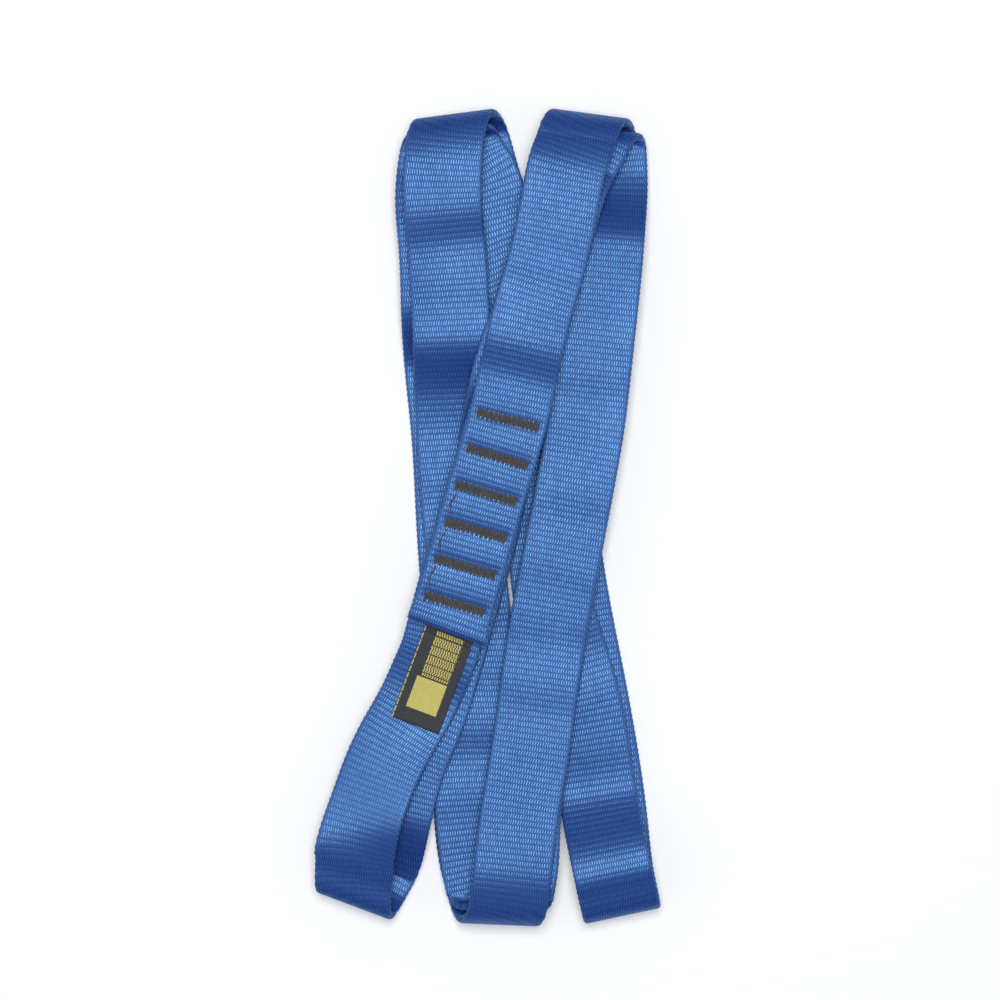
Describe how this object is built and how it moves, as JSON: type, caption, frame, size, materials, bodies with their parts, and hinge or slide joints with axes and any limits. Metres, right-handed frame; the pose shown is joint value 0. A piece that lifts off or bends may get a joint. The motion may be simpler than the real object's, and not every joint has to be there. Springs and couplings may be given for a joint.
{
  "type": "sewn sling",
  "caption": "Sewn loop of flat webbing with a bartacked lap and a folded label, folded flat into stacked legs.",
  "frame": {"origin": "middle of the folded bundle's box, on the surface that it lies on", "axes": "+Y along the folded legs, towards the end with the two top folds; +Z up out of the surface; +X to the right when seen from above with +Y up"},
  "size_m": [0.0836, 0.1974, 0.0168],
  "materials": {
    "webbing": "woven, slight sheen",
    "thread": "zigzag bartack thread",
    "label": "fine woven tape"
  },
  "bodies": {
    "leg_4": {"leg_4_under_ply": "webbing", "leg_4_top_ply": "webbing", "right_end_turn": "webbing", "top_left_outer_turn": "webbing", "top_left_inner_turn": "webbing"},
    "leg_3": {"leg_3_under_ply": "webbing", "leg_3_top_ply": "webbing", "bottom_middle_outer_turn": "webbing", "bottom_middle_inner_turn": "webbing"},
    "leg_2": {"leg_2_under_ply": "webbing", "leg_2_top_ply": "webbing", "top_right_outer_turn": "webbing", "top_right_inner_turn": "webbing"},
    "leg_1": {"leg_1_under_ply": "webbing", "leg_1_lap_lower_ply": "webbing", "leg_1_lap_upper_ply": "webbing", "left_end_turn": "webbing", "bartack_1": "thread", "bartack_2": "thread", "bartack_3": "thread", "bartack_4": "thread", "bartack_5": "thread", "bartack_6": "thread", "jump_thread_3": "thread", "jump_thread_4": "thread", "jump_thread_5": "thread", "label_tail": "label"},
    "label": {"label_flap": "label"}
  },
  "joints": [
    {"name": "top_left_fold", "type": "hinge", "parent": "leg_4", "child": "leg_3", "pos_m": [-0.00713, 0.0912, 0.0064], "axis": [-0.9917, -0.1288, 0], "range_deg": [0, 170], "deforming": ["top_left_outer_turn", "top_left_inner_turn"]},
    {"name": "bottom_middle_fold", "type": "hinge", "parent": "leg_3", "child": "leg_2", "pos_m": [0.00251, -0.09198, 0.0064], "axis": [0.9991, -0.0419, 0], "range_deg": [0, 170], "deforming": ["bottom_middle_outer_turn", "bottom_middle_inner_turn"]},
    {"name": "top_right_fold", "type": "hinge", "parent": "leg_2", "child": "leg_1", "pos_m": [0.02402, 0.0912, 0.0064], "axis": [-0.9914, 0.1305, 0], "range_deg": [0, 170], "deforming": ["top_right_outer_turn", "top_right_inner_turn"]},
    {"name": "label_lift", "type": "hinge", "parent": "leg_1", "child": "label", "pos_m": [-0.00959, -0.02886, 0.01097], "axis": [-0.9367, 0.3502, 0], "range_deg": [0, 90]}
  ]
}
